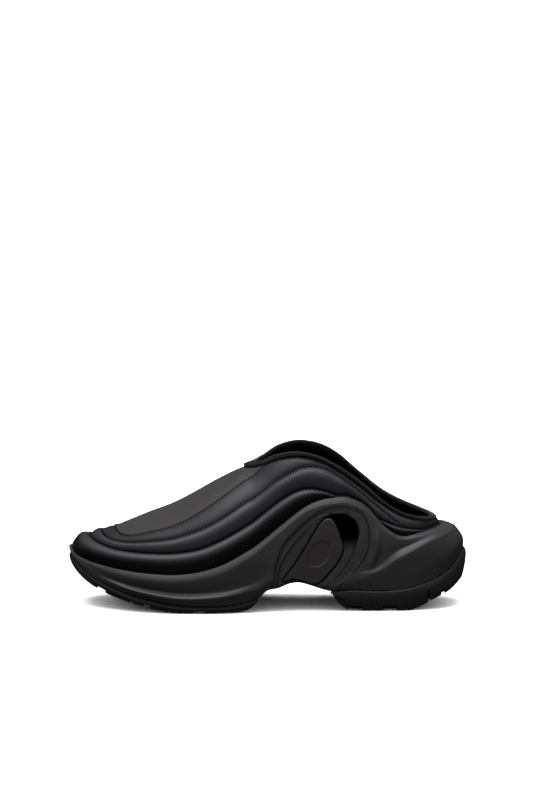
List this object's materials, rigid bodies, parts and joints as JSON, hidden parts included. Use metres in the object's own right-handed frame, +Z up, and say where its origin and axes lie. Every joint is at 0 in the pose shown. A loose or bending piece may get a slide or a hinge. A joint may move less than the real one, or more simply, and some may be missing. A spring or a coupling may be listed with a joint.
{
  "type": "sneaker mule",
  "caption": "Backless slip-on sneaker with a quilted moulded upper, a sculpted foam midsole with an arch window, and lugged rubber treads.",
  "frame": {"origin": "centre of the bounding box's underside, on the floor the shoe stands on", "axes": "toe at -X, heel at +X, lateral side at -Y, medial side at +Y, +Z up"},
  "size_m": [0.2994, 0.1132, 0.1199],
  "materials": {
    "upper": "smooth matte",
    "binding": "knitted, dull",
    "foam": "moulded foam, soft sheen",
    "plate": "satin",
    "tread": "matte rubber",
    "footbed": "dull textile"
  },
  "bodies": {
    "root": {"upper": "upper", "collar_binding": "binding", "midsole": "foam", "arch_plate_lateral": "plate", "arch_plate_medial": "plate", "outsole_forefoot": "tread", "outsole_heel": "tread", "insole": "footbed"}
  },
  "joints": []
}
